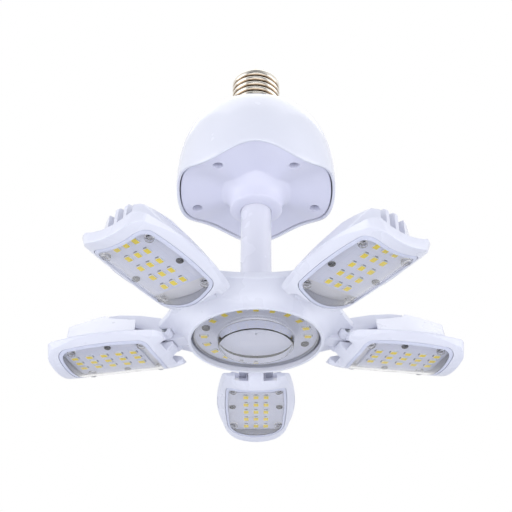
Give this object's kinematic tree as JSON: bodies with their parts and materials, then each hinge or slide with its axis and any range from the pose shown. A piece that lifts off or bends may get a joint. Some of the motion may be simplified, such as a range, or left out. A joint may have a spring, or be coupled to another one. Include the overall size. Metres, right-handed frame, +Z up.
{
  "type": "folding panel led lamp",
  "caption": "Screw base lamp with a domed driver housing, a tubular stem and hinged finned light panels round a central ring light.",
  "frame": {"origin": "on the lamp axis at the bottom edge of the metal screw shell", "axes": "+Z up along the lamp axis, out of the centre contact; +Y towards the hinge of panel 1"},
  "size_m": [0.2073, 0.197, 0.177],
  "materials": {
    "nickel_shell": "nickel plated brass shell, rolled thread, satin",
    "contact_metal": "tinned contact with a solder dome",
    "black_insulator": "black vitrified insulator, glossy",
    "white_housing": "moulded white polycarbonate, glossy",
    "pale_cover": "moulded pale blue-white polycarbonate, glossy",
    "zinc_steel": "zinc plated steel",
    "circuit_board": "green glass-fibre circuit board",
    "dark_ferrite": "ferrite core with taped winding",
    "capacitor_sleeve": "shrink sleeve of a capacitor",
    "lead_insulation": "insulation of a hook-up lead",
    "white_tube": "steel tube, white powder coat",
    "white_casting": "die-cast aluminium, white powder coat, glossy",
    "light_board": "metal core board, white solder mask",
    "light_chip": "yellow phosphor in a white chip package",
    "clear_lens": "clear polycarbonate, moulded",
    "dark_screw": "dark plated pan head screw"
  },
  "bodies": {
    "lamp": {"screw_shell": "nickel_shell", "base_insulator": "black_insulator", "centre_contact": "contact_metal", "driver_housing": "white_housing", "housing_cover": "pale_cover", "cover_screws": "zinc_steel", "driver_board": "circuit_board", "driver_board_screws": "zinc_steel", "driver_transformer": "dark_ferrite", "driver_capacitors": "capacitor_sleeve", "supply_leads": "lead_insulation", "stem_tube": "white_tube", "stem_nut": "zinc_steel", "hub": "white_casting", "hub_board": "light_board", "hub_chips": "light_chip", "hub_lens": "clear_lens", "hub_board_screws": "dark_screw"},
    "panel_1": {"panel_1_casting": "white_casting", "panel_1_board": "light_board", "panel_1_chips": "light_chip", "panel_1_lens": "clear_lens", "panel_1_board_screws": "dark_screw", "hinge_pin_1": "zinc_steel"},
    "panel_2": {"panel_2_casting": "white_casting", "panel_2_board": "light_board", "panel_2_chips": "light_chip", "panel_2_lens": "clear_lens", "panel_2_board_screws": "dark_screw", "hinge_pin_2": "zinc_steel"},
    "panel_3": {"panel_3_casting": "white_casting", "panel_3_board": "light_board", "panel_3_chips": "light_chip", "panel_3_lens": "clear_lens", "panel_3_board_screws": "dark_screw", "hinge_pin_3": "zinc_steel"},
    "panel_4": {"panel_4_casting": "white_casting", "panel_4_board": "light_board", "panel_4_chips": "light_chip", "panel_4_lens": "clear_lens", "panel_4_board_screws": "dark_screw", "hinge_pin_4": "zinc_steel"},
    "panel_5": {"panel_5_casting": "white_casting", "panel_5_board": "light_board", "panel_5_chips": "light_chip", "panel_5_lens": "clear_lens", "panel_5_board_screws": "dark_screw", "hinge_pin_5": "zinc_steel"}
  },
  "joints": [
    {"name": "panel_1_hinge", "type": "hinge", "parent": "lamp", "child": "panel_1", "pos_m": [0, 0.044, -0.1322], "axis": [1, 0, 0], "range_deg": [-6, 94]},
    {"name": "panel_2_hinge", "type": "hinge", "parent": "lamp", "child": "panel_2", "pos_m": [0.04185, 0.0136, -0.1322], "axis": [0.309, -0.9511, 0], "range_deg": [-14, 86]},
    {"name": "panel_3_hinge", "type": "hinge", "parent": "lamp", "child": "panel_3", "pos_m": [0.02586, -0.0356, -0.1322], "axis": [-0.809, -0.5878, 0], "range_deg": [-12, 88]},
    {"name": "panel_4_hinge", "type": "hinge", "parent": "lamp", "child": "panel_4", "pos_m": [-0.02586, -0.0356, -0.1322], "axis": [-0.809, 0.5878, 0], "range_deg": [-15, 85]},
    {"name": "panel_5_hinge", "type": "hinge", "parent": "lamp", "child": "panel_5", "pos_m": [-0.04185, 0.0136, -0.1322], "axis": [0.309, 0.9511, 0], "range_deg": [-12.5, 87.5]}
  ]
}
